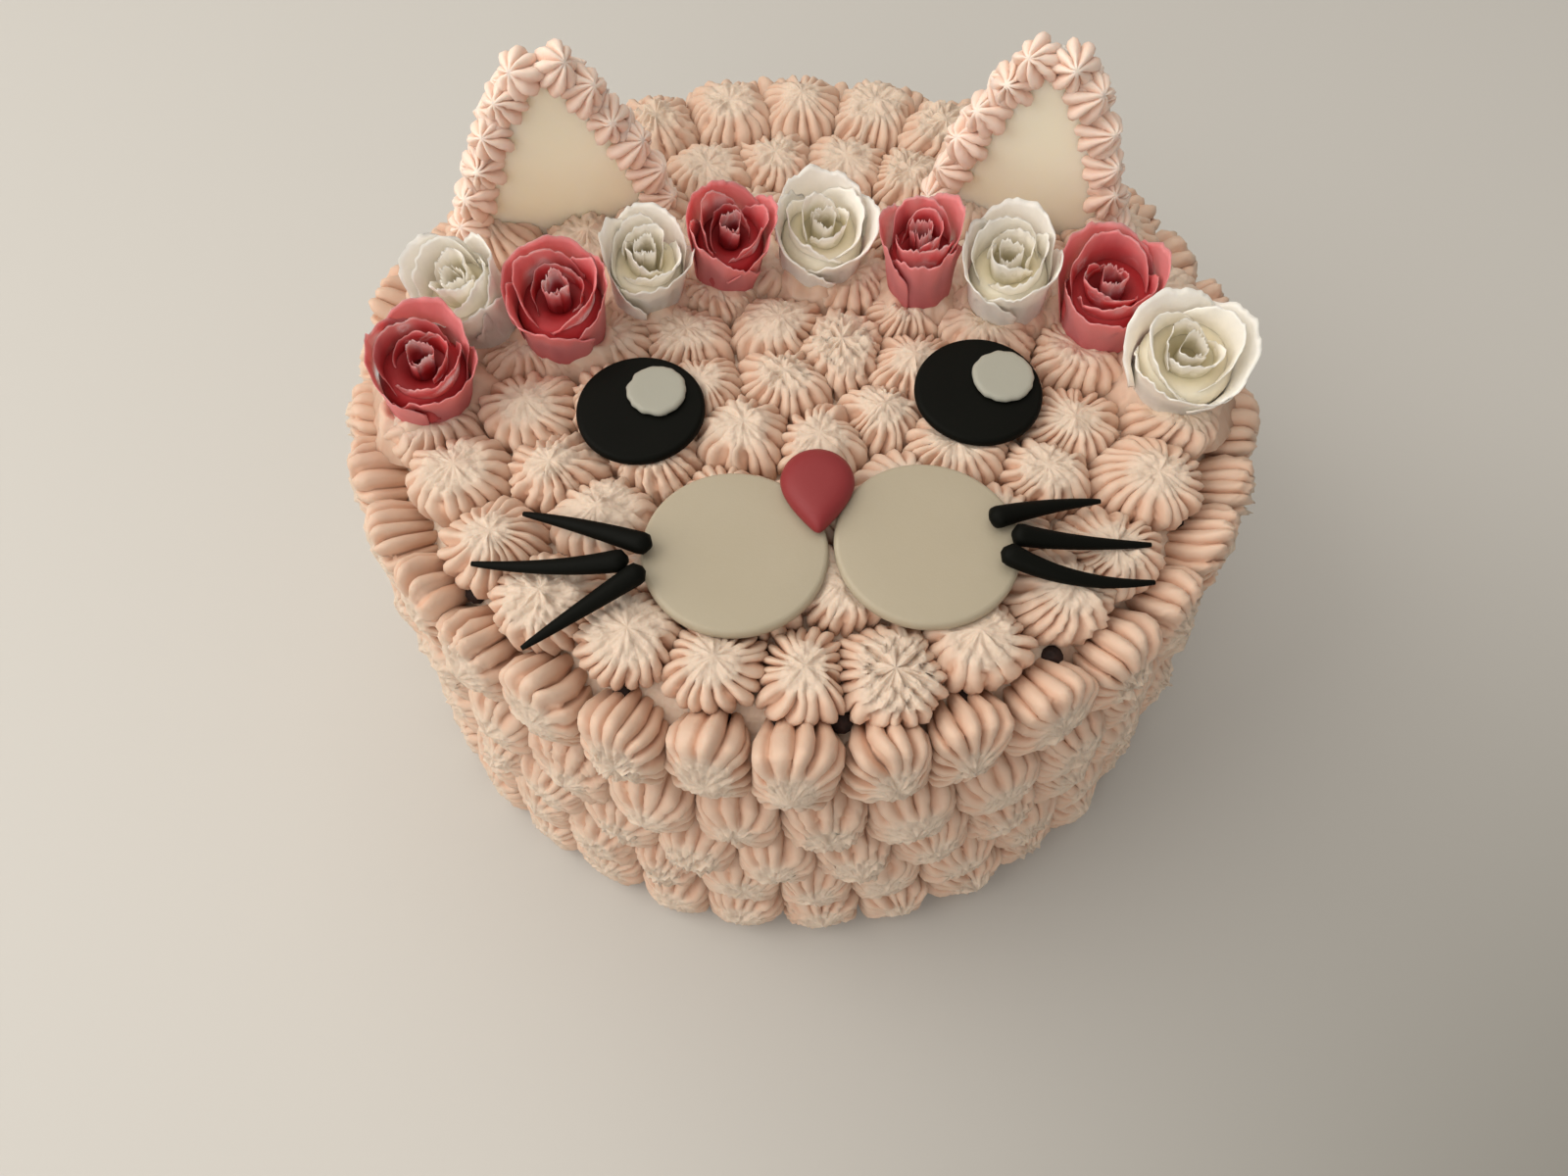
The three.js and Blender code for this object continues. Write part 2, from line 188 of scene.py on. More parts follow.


# Piped butter cream: soft and slightly see-through, so thin ribs glow; creases and star feet get painted
# shade.
def butterCream(name, look):
    material, tree, shader, place = newMaterial(name)
    tint = mixColours(tree, cloudNoise(tree, place, 26, 3.0).outputs["Fac"], look["middle"], look["ridge"])
    deep = addNode(tree, "ShaderNodeAttribute", {"attribute_name": "crease"}).outputs["Fac"]
    hubness = addNode(tree, "ShaderNodeMapRange", {1: ribDepth, 2: 0.0}, {0: deep})
    depth = addNode(tree, "ShaderNodeMapRange", {1: ribDepth, 2: 1.0}, {0: deep})
    pale = mixColours(tree, hubness.outputs["Result"], tint, look["hub"])
    colour = mixColours(tree, depth.outputs["Result"], pale, look["crease"])
    grain = cloudNoise(tree, place, look["grainSize"], 1.0)
    pits = cloudNoise(tree, place, look["pitSize"], 2.0)
    relief = addNode(tree, "ShaderNodeMath", {"operation": "MULTIPLY_ADD", 1: 0.16},
                     {0: grain.outputs["Fac"], 2: pits.outputs["Fac"]})
    torn = addNode(tree, "ShaderNodeMapRange",
                   {1: ribDepth, 2: 0.0, 3: look["ribRelief"], 4: look["hubRelief"]}, {0: deep})
    bump = addNode(tree, "ShaderNodeBump", {"Distance": look["grainDepth"] * mm},
                   {"Height": relief.outputs["Value"], "Strength": torn.outputs["Result"]})
    setShader(tree, shader,
              {"Roughness": look["roughness"], "Subsurface Weight": look["scatter"],
               "Subsurface Radius": (1.0, 0.66, 0.48), "Subsurface Scale": look["scatterDepth"] * mm,
               "IOR": 1.45, "Specular IOR Level": 0.4},
              {"Base Color": colour, "Normal": bump.outputs["Normal"]})
    return material


pasteLook = {"roughness": 0.45, "scatter": 0.2, "depth": 1.5, "spread": (1.0, 0.85, 0.7), "shine": 0.4}
# The cheeks' paste: an ivory tone of its own, darkened further as painted shade on their upward faces.
shadedIvoryLook = {**pasteLook, "base": "#b3a994", "dust": "#afa58f", "scatter": 0.3}
# Paste for the ear panels: thin and see-through, and painted brighter as painted light on their front faces.
litEarPasteLook = {**pasteLook, "base": "#fbf6e6", "dust": "#f7f0dc", "roughness": 0.5, "scatter": 1.0,
                "depth": 4.0, "spread": (1.0, 0.95, 0.85)}
# White paste for the glints, greyed as painted shade on their upward faces.
shadedWhiteLook = {**pasteLook, "base": "#a6a599", "dust": "#a2a194"}
blackLook = {**pasteLook, "base": "#090a07", "dust": "#0e0f0b", "roughness": 0.55, "scatter": 0.0,
             "shine": 0.08}
roseRedLook = {**pasteLook, "base": "#892b2e", "dust": "#8d3133", "roughness": 0.5}


# Rolled sugar paste: satin and very smooth, with the faint dusting that the rolling pin leaves.
def sugarPaste(name, look):
    material, tree, shader, place = newMaterial(name)
    colour = mixColours(tree, cloudNoise(tree, place, 18, 2.0).outputs["Fac"], look["base"], look["dust"])
    dust = cloudNoise(tree, place, 0.8, 4.0, 0.7).outputs["Fac"]
    bump = addNode(tree, "ShaderNodeBump", {"Strength": 0.2, "Distance": 0.15 * mm}, {"Height": dust})
    rough = addNode(tree, "ShaderNodeMapRange",
                    {3: look["roughness"] - 0.06, 4: look["roughness"] + 0.08}, {0: dust})
    setShader(tree, shader,
              {"Subsurface Weight": look["scatter"], "Subsurface Radius": look["spread"],
               "Subsurface Scale": look["depth"] * mm, "IOR": 1.45, "Specular IOR Level": look["shine"]},
              {"Base Color": colour, "Normal": bump.outputs["Normal"], "Roughness": rough.outputs["Result"]})
    return material


# Petal colours from rim over body to deep: the pale rims are painted light and the deep colour is painted
# shade.
pinkLook = {"rim": "#e58486", "body": "#cc484c", "deep": "#8a1519", "spread": (1.0, 0.5, 0.45)}
whitePetalLook = {"rim": "#fcf7ec", "body": "#faf2e2", "deep": "#d2c7a2", "spread": (1.0, 0.9, 0.75)}


# Thin rolled petals of sugar paste: matt; painted light makes the frayed rims paler, painted shade the folds
# deeper.
def petalPaste(name, look):
    material, tree, shader, place = newMaterial(name)
    depth = addNode(tree, "ShaderNodeAttribute", {"attribute_name": "crease"})
    ramp = addNode(tree, "ShaderNodeValToRGB", {}, {0: depth.outputs["Fac"]})
    ramp.color_ramp.elements[0].color = linear(look["rim"])
    ramp.color_ramp.elements[1].color = linear(look["deep"])
    ramp.color_ramp.elements.new(0.4).color = linear(look["body"])
    fibre = cloudNoise(tree, place, 1.6, 4.0, 0.6).outputs["Fac"]
    shade = addNode(tree, "ShaderNodeMapRange", {3: 0.94, 4: 1.04}, {0: fibre})
    colour = addNode(tree, "ShaderNodeVectorMath", {"operation": "SCALE"},
                     {0: ramp.outputs["Color"], 3: shade.outputs["Result"]})
    bump = addNode(tree, "ShaderNodeBump", {"Strength": 0.35, "Distance": 0.2 * mm}, {"Height": fibre})
    setShader(tree, shader,
              {"Roughness": 0.55, "Subsurface Weight": 0.45, "Subsurface Radius": look["spread"],
               "Subsurface Scale": 1.8 * mm, "IOR": 1.45, "Specular IOR Level": 0.3},
              {"Base Color": colour.outputs[0], "Normal": bump.outputs["Normal"]})
    return material


# Baked cocoa sponge: nearly black and crumbly, and only glimpsed between the stars.
def darkSponge(name):
    material, tree, shader, place = newMaterial(name)
    cells = addNode(tree, "ShaderNodeTexVoronoi", {"Scale": 1 / (1.4 * mm)}, {"Vector": place})
    crumb = cells.outputs["Distance"]
    colour = mixColours(tree, crumb, "#150b08", "#2e1a14")
    bump = addNode(tree, "ShaderNodeBump", {"Strength": 0.8, "Distance": 0.6 * mm}, {"Height": crumb})
    setShader(tree, shader, {"Roughness": 0.85}, {"Base Color": colour, "Normal": bump.outputs["Normal"]})
    return material


cream = butterCream("pipedButterCream", creamLook)
earCream = butterCream("earCreamPaintedLight", litEarCreamLook)
ivoryPasteShaded = sugarPaste("ivoryPasteWithPaintedShade", shadedIvoryLook)
earPaste = sugarPaste("thinEarPasteWithPaintedLight", litEarPasteLook)
shadedWhitePaste = sugarPaste("whitePasteWithPaintedShade", shadedWhiteLook)
blackPaste = sugarPaste("rolledBlackPaste", blackLook)
rosePaste = sugarPaste("rolledRosePaste", roseRedLook)
pinkPetal = petalPaste("rolledPinkPetal", pinkLook)
whitePetal = petalPaste("rolledWhitePetal", whitePetalLook)
sponge = darkSponge("cocoaSponge")
print("materials made")

# Sizes in millimetres and angles in degrees, close to the solids: the round cake, its rings and rows of
# stars, and what is bedded in the stars of the top. The front is at 0 degrees.
cakeSize = {"topRadius": 87, "baseRadius": 91, "height": 98, "wide": 1.03}
topRings = [
    {"radius": 78.7, "count": 28, "first": -0.6, "droop": 3.2},
    {"radius": 60, "count": 22, "first": 7, "droop": 0.8},
    {"radius": 42.5, "count": 15, "first": 2, "droop": 0.4},
    {"radius": 25, "count": 10, "first": 8, "droop": 0.2},
    {"radius": 9.5, "count": 3, "first": -25, "droop": 0.0},
]
sideRows = [  # the crowns of the upper row are pushed up, and those of the next ones have sagged
    {"height": 88.5, "count": 35, "first": -0.9, "lean": 5.2},
    {"height": 68, "count": 32, "first": 2.6, "lean": -2.0},
    {"height": 49, "count": 35, "first": -3.6, "lean": -2.6},
    {"height": 30, "count": 35, "first": 1.9, "lean": -2.6},
    {"height": 10.6, "count": 34, "first": 2.9, "lean": 0.0},
]
# Under the chin the rim stars stand further in, and the upper row reaches up to them.
chin = {"shift": 2.6, "stretch": 0.5}
discBed = 108.9  # the flat pieces have sunk a little into the stars
cheekLook = {"radius": 18.6, "thick": 2.4, "paste": ivoryPasteShaded, "slot": "sugar_paste_white"}
eyeLook = {"radius": 13.6, "thick": 2.0, "paste": blackPaste, "slot": "sugar_paste_black"}
flatPieces = {
    "cheek_left": {**cheekLook, "at": (-13.7, -54.6), "tilt": 0},
    "cheek_right": {**cheekLook, "at": (24.1, -52.9), "tilt": 1},
    "eye_left": {**eyeLook, "at": (-34.2, -19.6), "tilt": 2},
    "eye_right": {**eyeLook, "at": (37.3, -14.9), "tilt": 3},
}
roseFoot = 104.5
roses = [  # lean is towards the front and roll towards the right
    {"name": "rose_pink_1", "at": (-80.9, -12.4), "rim": 10.8, "height": 21.5, "lean": 9.5, "roll": 9},
    {"name": "rose_white_1", "at": (-70.0, 8.2), "rim": 9.7, "height": 25, "lean": 13, "roll": -10},
    {"name": "rose_pink_2", "at": (-52.6, 4.9), "rim": 10.8, "height": 23, "lean": 9, "roll": 3},
    {"name": "rose_white_2", "at": (-35.6, 16.8), "rim": 9.4, "height": 22.5, "lean": 11, "roll": 6},
    {"name": "rose_pink_3", "at": (-17.4, 23.8), "rim": 9.0, "height": 26, "lean": 15, "roll": 6},
    {"name": "rose_white_3", "at": (3.8, 26.6), "rim": 10.9, "height": 20, "lean": 8, "roll": 4, "open": 1.4},
    {"name": "rose_pink_4", "at": (26.9, 17.1), "rim": 8.4, "height": 27, "lean": 6, "roll": -4},
    {"name": "rose_white_4", "at": (46.4, 14.2), "rim": 10.2, "height": 24, "lean": 9.5, "roll": -6},
    {"name": "rose_pink_5", "at": (67.4, 7.6), "rim": 11.2, "height": 23, "lean": 8, "roll": -6},
    {"name": "rose_white_5", "at": (80.6, -8.4), "rim": 11.8, "height": 21, "lean": 14, "roll": -2,
     "open": 2.0},
]

starLook = {
    "radius": 12.0,  # reach where nothing is in the way
    "height": 11.4,
    "lap": 1.11,  # how far neighbours run into each other
    "around": 6,  # mesh steps to a rib
    "depth": 2.2,  # of the creases between the ribs
    "hub": 0.6,  # share of the radius that the smooth middle takes
    "power": 3.2,  # how boxy the dome is
    "base": 0.4,  # share of the height that stands straight up from the foot
    "sunk": 2.2,  # how deep the foot stands in the cake
    "vary": 0.14,  # how much the domes and hubs differ from star to star
    "lumpy": 1.0,  # lumps on the hub, where the nozzle let go
    "twist": 0.2,
    "claw": 0.0,  # how far the ribs spread at the foot
    "levels": [0, 0.06, 0.12, 0.18, 0.25, 0.33, 0.43, 0.54, 0.66, 0.78, 0.89, 1.0, 1.25, 2.0],
}
sideLook = {**starLook, "radius": 11.8, "power": 3.5, "hub": 0.58, "twist": 0.1}
topRibs = (18, 19, 20, 22)
sideRibs = (15, 16, 17, 18)


def wallRadius(z):
    return cakeSize["baseRadius"] + (cakeSize["topRadius"] - cakeSize["baseRadius"]) * z / cakeSize["height"]


def pickRibs(seed, counts):
    return counts[int(chance(seed + 0.83) * len(counts))]


# Each star has a frame of its own, and its crown faces the last of the three axes. "flat" is its place on the
# unrolled surface, "lean" how far its crown hangs aside and "curve" the radius of the wall under its foot.
def topStars():
    stars = []
    for k, ring in enumerate(topRings):
        for i in range(ring["count"]):
            seed = 100 * (k + 1) + i
            angle = math.radians(ring["first"] + 360 * i / ring["count"] + 1.2 * swing(seed))
            out = (math.sin(angle), -math.cos(angle))
            r = ring["radius"] + 0.7 * swing(seed + 0.3)
            if k == 0:
                r -= chin["shift"] * max(0.0, math.cos(angle))
            stars.append({
                "seed": seed,
                "band": k,
                "ribs": pickRibs(seed, topRibs),
                "at": (r * out[0], r * out[1], cakeSize["height"]),
                "axes": ((1, 0, 0), (0, 1, 0), (0, 0, 1)),
                "flat": (r * out[0], r * out[1]),
                "lean": (ring["droop"] * out[0], ring["droop"] * out[1]),
                "curve": math.inf,
                "tall": 1 + 0.06 * swing(seed + 0.9),
            })
    return stars


def sideStars():
    stars = []
    for k, row in enumerate(sideRows):
        for i in range(row["count"]):
            seed = 1000 + 100 * k + i
            angle = math.radians(row["first"] + 360 * i / row["count"] + 0.6 * swing(seed))
            # The lowest row stands level on the floor.
            z = row["height"] + (0 if k == len(sideRows) - 1 else 0.6 * swing(seed + 0.3))
            r = wallRadius(z)
            facing = math.atan2(math.sin(angle), cakeSize["wide"] * math.cos(angle))
            across, out = (math.cos(facing), math.sin(facing), 0), (math.sin(facing), -math.cos(facing), 0)
            stretch = chin["stretch"] * max(0.0, math.cos(angle)) if k == 0 else 0
            stars.append({
                "seed": seed,
                "band": k,
                "ribs": pickRibs(seed, sideRibs),
                "at": (cakeSize["wide"] * r * math.sin(angle), -r * math.cos(angle), z),
                "axes": (across, (0, 0, 1), out),
                "angle": angle,
                "flat": (angle * r, z),
                "lean": (0, row["lean"]),
                "curve": r,
                "stretch": 1 + stretch,
                "tall": 1 + 0.06 * swing(seed + 0.9),
            })
    return stars


# The mesh that a star starts from: a line spun round, from the middle of the crown to the closed foot.
def starBlank(ribs, look):
    bm = bmesh.new()
    spinProfile(bm, [(t if t <= 1 else 2 - t, -t) for t in look["levels"]], ribs * look["around"])
    bmesh.ops.recalc_face_normals(bm, faces=bm.faces)
    mesh = bpy.data.meshes.new("starBlank")
    bm.to_mesh(mesh)
    bm.free()
    return mesh


neighbourRange = 27  # stars further apart than this don't touch


def neighboursOf(star, stars):
    near = []
    for other in stars:
        if other is star:
            continue
        dx, dy = other["flat"][0] - star["flat"][0], other["flat"][1] - star["flat"][1]
        if "angle" in star:  # the rows go on round the cake
            wall = wallRadius(star["flat"][1])
            dx = ((other["angle"] - star["angle"] + math.pi) % fullTurn - math.pi) * wall
        distance = math.hypot(dx, dy)
        if distance < neighbourRange:
            share = distance / 2 + 0.9 * (swing(star["seed"] + 0.11) - swing(other["seed"] + 0.11))
            near.append((math.atan2(dy, dx), share))
    return near


# How far a star reaches in each direction before it meets its neighbours.
def reach(theta, near, full):
    sharpness = 9.0
    facingAway = 0.08
    total = full ** -sharpness * np.ones_like(theta)
    for direction, share in near:
        facing = np.cos(theta - direction)
        limit = np.where(facing > facingAway, share / np.maximum(facing, facingAway), 1e3)
        total += np.maximum(limit, 1.0) ** -sharpness
    return total ** (-1 / sharpness)


# Shapes a star from its blank. t runs from 0 in the middle of the crown over 1 at the rim to 2 under the
# foot, and turn goes round it. Returned are the points in the star's own frame and their crease values.
def shapeStar(t, turn, star, near, look):
    seed = star["seed"]
    ribs = star["ribs"]
    rng = np.random.default_rng(int(seed * 7 + 3))
    boxy = look["power"] * (1 + look["vary"] * swing(seed + 0.21))
    hub = look["hub"] * (1 + look["vary"] * 1.6 * swing(seed + 0.37))
    start = fullTurn * chance(seed + 0.6)
    uneven = sum(rng.uniform(0.03, 0.11) / k * np.sin(k * turn + rng.uniform(0, 6.3)) for k in (1, 2, 3, 5))
    twist = rng.normal(0, look["twist"]) * np.clip(1 - t, 0, 1) + rng.normal(0, 0.05)
    turn = turn + 0.55 * np.sin(ribs * turn) / ribs  # more of the mesh lies at the creases
    ribNumber = np.floor(turn * ribs / fullTurn + 0.5).astype(int) % ribs
    # The dome, from its crown down to the straight base and the sunk foot.
    level = np.clip(t, 0, 1) * (math.pi / 2)
    out = np.where(t > 1, 2 - t, np.sin(level) ** (2 / boxy))
    up = np.cos(level) ** (2 / boxy)
    ribSway = rng.normal(0, 0.055, ribs)[ribNumber] * np.sin(np.clip(t, 0, 1) * math.pi)
    theta = start + turn + uneven + twist + ribSway * smooth(hub - 0.1, hub + 0.12, out)
    full = look["radius"] * (1 + 0.04 * rng.normal())
    limit = np.minimum(reach(theta, near, full) * look["lap"], full * 1.02)
    tall = look["height"] * star["tall"]
    r = limit * out
    sinking = np.clip((t - 1) * 4, 0, 1)
    z = tall * (look["base"] + (1 - look["base"]) * up) - (tall * look["base"] + look["sunk"]) * sinking
    # Ribs: full and round, parted by sharp creases, fading into the smooth hub and towards the foot.
    hubEdge = hub + rng.normal(0, 0.045, ribs)[ribNumber]
    ribbed = (0.04 + 0.96 * smooth(hubEdge - 0.06, hubEdge + 0.14, out)) * smooth(0.1, 0.4, out)
    ribbed = ribbed * np.where(t > 1, np.clip(1.6 - (t - 1) * 2, 0, 1), 1)
    lobe = np.abs(np.cos(turn * ribs / 2)) ** 0.45
    strength = (1 + rng.normal(0, 0.25, ribs))[ribNumber]
    dent = look["depth"] * ribbed * (1 - lobe) * strength
    swell = rng.normal(0, 0.3, ribs)[ribNumber] * ribbed * lobe
    outward = np.maximum(out, 0) ** (boxy - 1) * tall
    upward = up ** (boxy - 1) * limit
    size = np.maximum(np.hypot(outward, upward), 1e-6)
    r = r + (swell - dent) * outward / size + look["claw"] * lobe ** 2 * smooth(0.55, 1.0, out)
    z = z + (swell - dent) * upward / size
    x = r * np.cos(theta)
    y = r * np.sin(theta)
    y = np.where(y > 0, y * star.get("stretch", 1.0), y)
    # A low mound on the hub and a small tip a little off centre, with lumps where the cream tore.
    tip = rng.normal(0, 1.1, 2)
    z = z + rng.uniform(-0.3, 1.3) * np.exp(-(x ** 2 + y ** 2) / 16.0)
    z = z + rng.uniform(0.2, 1.3) * np.exp(-((x - tip[0]) ** 2 + (y - tip[1]) ** 2) / 2.6)
    lumps = 0.45 * np.sin(x * 1.9 + seed) * np.sin(y * 1.7 + 2 * seed)
    lumps = lumps + 0.3 * np.sin(x * 3.6 - seed) * np.sin(y * 3.9 + seed)
    roughHub = 2.5 if chance(seed + 0.91) > 0.8 else 1.0
    z = z + lumps * (1 - smooth(hub - 0.2, hub + 0.1, out)) * look["lumpy"] * roughHub
    # The crown leans away from the foot.
    above = np.clip(z / tall, 0, 1)
    x = x + rng.normal(0, 0.7) * above ** 2 + star["lean"][0] * above ** 1.5
    y = y + (rng.normal(0, 0.7) + star["lean"][1]) * above ** 1.5
    # Painted shade: the crease value grows in the creases between the ribs and towards the foot of the star,
    # and colours the cream darker there.
    ribShare = smooth(hub - 0.15, hub + 0.12, out)
    crease = ribDepth * ribShare + 0.75 * np.clip((1 - lobe) * ribbed, 0, 1) ** 1.1
    crease = crease + 0.34 * np.clip(0.62 - above, 0, 1)
    return x, y, z, np.clip(crease, 0, 1)


def pipeStars(name, band, stars, look):
    bm = bmesh.new()
    for star in band:
        bm.from_mesh(blanks[star["ribs"]])
    piece = objectFrom(bm, name, cream, "piped_cake")
    made, creases = [], []
    for star in band:
        base = coordsOf(blanks[star["ribs"]])
        x, y, z, crease = shapeStar(-base[:, 2], np.arctan2(base[:, 1], base[:, 0]), star,
                                    neighboursOf(star, stars), look)
        z = z - x ** 2 / (2 * star["curve"])
        centre = np.array(star["at"])
        points = centre + np.column_stack((x, y, z)) @ np.array(star["axes"], float)
        # Soft unevenness, and one star in seven is rough.
        rough = 1.0 + 2.4 * (chance(star["seed"] + 0.77) > 0.86)
        lift = 0.26 * wobble(points, 5.5, 11) + rough * 0.12 * wobble(points, 1.9, 12)
        lift = lift + 0.07 * wobble(points, 1.1, 13)
        away = points - centre
        points = points + away / np.maximum(np.linalg.norm(away, axis=1, keepdims=True), 1e-6) * lift[:, None]
        made.append(points)
        creases.append(crease)
    points = np.concatenate(made)
    if stars is onTop:
        points = pressUnder(smearRound(points))
    points[:, 2] = np.maximum(points[:, 2], 0.05)  # nothing dips into the floor
    placePoints(piece, points, np.concatenate(creases))


# The flat pieces press the stars that they rest on.
def pressUnder(points):
    for disc in flatPieces.values():
        away = np.hypot(points[:, 0] - disc["at"][0], points[:, 1] - disc["at"][1])
        ceiling = discBed - 0.15 + np.maximum(0, away - disc["radius"] - 0.2) * 1.2
        points[:, 2] = np.minimum(points[:, 2], ceiling)
    return points


# Where the roses were pushed in, the cream has lost its ribs and lies lower.
def smearRound(points):
    for rose in roses:
        away = np.hypot(points[:, 0] - rose["at"][0], points[:, 1] - rose["at"][1]) / rose["rim"]
        soft = (1 - smooth(0.75, 1.25, away)) * (points[:, 2] > cakeSize["height"] + 3)
        bed = roseFoot + 3.6 + 0.8 * wobble(points * (1, 1, 0), 6.0, 31)
        points[:, 2] += (np.minimum(points[:, 2], bed) - points[:, 2]) * soft
    return points


blanks = {ribs: starBlank(ribs, starLook) for ribs in {*topRibs, *sideRibs}}
onTop = topStars()
onSide = sideStars()
pipeStars("starsRim", [s for s in onTop if s["band"] == 0], onTop, starLook)
pipeStars("starsFace", [s for s in onTop if s["band"] > 0], onTop, starLook)
for k, label in enumerate(("starsUpper", "starsSecond", "starsMiddle", "starsFourth", "starsLower")):
    pipeStars(label, [s for s in onSide if s["band"] == k], onSide, sideLook)
for blank in blanks.values():
    bpy.data.meshes.remove(blank)
print("stars piped")

drums = {
    "spongeCake": {"material": sponge, "profile": [(0, 0), (90.5, 0), (86.8, 96.5), (85.4, 98.2), (0, 98.2)]},
    "creamCoat": {"material": cream, "profile": [(0, 1.0), (93.6, 1.0), (90.2, 92.0), (88.6, 96.6),
                                                 (85.5, 100.4), (81, 102.6), (0, 103.0)]},
}
# Spots between the stars of the rim, where the dark cake shows. The angles are in degrees from the front.
bareLook = {"angles": [-23, -10.5, -3, 4.5, 20, 33, -48, 62], "radius": 86.4, "height": 99.8, "size": 2.4}


def cakeDrum(name, drum):
    bm = bmesh.new()
    spinProfile(bm, drum["profile"], 128)
    bmesh.ops.scale(bm, vec=(cakeSize["wide"], 1, 1), verts=bm.verts)
    objectFrom(bm, name, drum["material"], "piped_cake")


def bareSponge(look):
    bm = bmesh.new()
    for degrees in look["angles"]:
        angle = math.radians(degrees)
        made = bmesh.ops.create_icosphere(bm, subdivisions=2, radius=look["size"])
        x, y = look["radius"] * math.sin(angle), -look["radius"] * math.cos(angle)
        bmesh.ops.translate(bm, vec=(cakeSize["wide"] * x, y, look["height"]), verts=made["verts"])
    objectFrom(bm, "bareSponge", sponge, "piped_cake")


for name, drum in drums.items():
    cakeDrum(name, drum)
bareSponge(bareLook)
print("cake under the stars done")

glintLook = {"thick": 1.4, "ragged": 0.06, "paste": shadedWhitePaste, "slot": "sugar_paste_white"}
glints = {
    "glint_left": {**glintLook, "eye": "eye_left", "at": (3.4, 3.6), "radius": 6.3},
    "glint_right": {**glintLook, "eye": "eye_right", "at": (5.1, 2.6), "radius": 6.5},
}


# A tilted disc is raised until its lower edge clears the bed.
def liftOf(disc):
    return discBed + disc["radius"] * math.sin(math.radians(disc["tilt"]))


def discFrame(disc):
    tilted = Matrix.Rotation(math.radians(disc["tilt"]), 4, "X")
    return Matrix.Translation((*disc["at"], liftOf(disc))) @ tilted


def sugarDisc(name, disc, place, steps):
    radius, thick = disc["radius"], disc["thick"]
    seed = round(radius * 10 + thick * 100 + disc["at"][0])
    profile = [(0, 0), (radius - 0.35, 0), (radius, 0.35), (radius, thick * 0.55),
               (radius - 0.18, thick * 0.8), (radius - 0.55, thick * 0.96), (radius - 1.1, thick),
               (radius * 0.6, thick * 0.985), (radius * 0.3, thick * 0.99), (0, thick)]
    bm = bmesh.new()
    spinProfile(bm, profile, steps)
    for v in bm.verts:  # cut and lifted by hand, so the outline is not quite true
        angle = math.atan2(v.co.y, v.co.x)
        share = math.hypot(v.co.x, v.co.y) / radius
        bent = 0.006 * math.sin(2 * angle + seed) + 0.004 * math.sin(3 * angle + 2 * seed) - 0.006
        torn = disc.get("ragged", 0) * noise.noise((math.cos(angle) * 3.5, math.sin(angle) * 3.5, seed))
        pull = 1 + share * (bent + torn)
        v.co.x *= pull
        v.co.y *= pull
    bmesh.ops.transform(bm, matrix=place, verts=bm.verts)
    objectFrom(bm, name + "Paste", disc["paste"], name)


for name, disc in flatPieces.items():
    sugarDisc(name, disc, discFrame(disc), 96)
for name, glint in glints.items():
    eye = flatPieces[glint["eye"]]
    place = discFrame(eye) @ Matrix.Translation((*glint["at"], eye["thick"] + 0.15))
    sugarDisc(name, glint, place, 64)

onCheek = liftOf(flatPieces["cheek_right"]) + flatPieces["cheek_right"]["thick"]
noseLook = {
    "at": (2.7, -40.0),
    "width": 15,
    "length": 19.6,
    "thick": 4.2,
    "back": 0.4,  # share of the length behind the widest place
    "taper": 0.62,
    "profile": [(0, 0), (0.9, 0), (0.98, 0.10), (1.0, 0.28), (0.97, 0.48), (0.9, 0.66), (0.78, 0.82),
                (0.6, 0.93), (0.35, 0.99), (0, 1)],
}


def sugarNose(look):
    bm = bmesh.new()
    spinProfile(bm, [(r, z * look["thick"]) for r, z in look["profile"]], 72)
    for v in bm.verts:  # a drop, round at the back and drawn to a blunt point
        forward = max(0.0, -v.co.y)
        v.co.x *= look["width"] / 2 * (1 - look["taper"] * forward ** 1.7)
        v.co.y *= look["length"] * (1 - look["back"] if v.co.y < 0 else look["back"])
    bmesh.ops.translate(bm, vec=(*look["at"], onCheek + 0.2), verts=bm.verts)
    objectFrom(bm, "noseDrop", rosePaste, "nose")


sugarNose(noseLook)

# Each whisker runs through three points, from its thick end on the cheek to its tip.
whiskerLook = {"endRadius": 2.45, "tipRadius": 0.5, "around": 20, "along": 26, "blunt": 0.07, "flat": 0.9}
whiskers = {
    "whisker_left_1": [(-29.6, -55.8), (-43.2, -50.0), (-56.2, -45.3)],
    "whisker_left_2": [(-33.8, -58.7), (-48.4, -59.0), (-65.1, -56.9)],
    "whisker_left_3": [(-30.6, -60.8), (-42.4, -68.4), (-53.3, -75.4)],
    "whisker_right_1": [(36.3, -49.6), (47.5, -45.4), (59.7, -42.3)],
    "whisker_right_2": [(40.2, -52.9), (52.6, -53.4), (68.4, -52.6)],
    "whisker_right_3": [(37.9, -56.6), (51.6, -61.4), (67.8, -61.1)],
}


def bendThrough(points, t):  # a smooth line through three points, t from 0 to 1
    a, b, c = [Vector(p) for p in points]
    control = 2 * b - (a + c) / 2
    return (1 - t) ** 2 * a + 2 * t * (1 - t) * control + t ** 2 * c


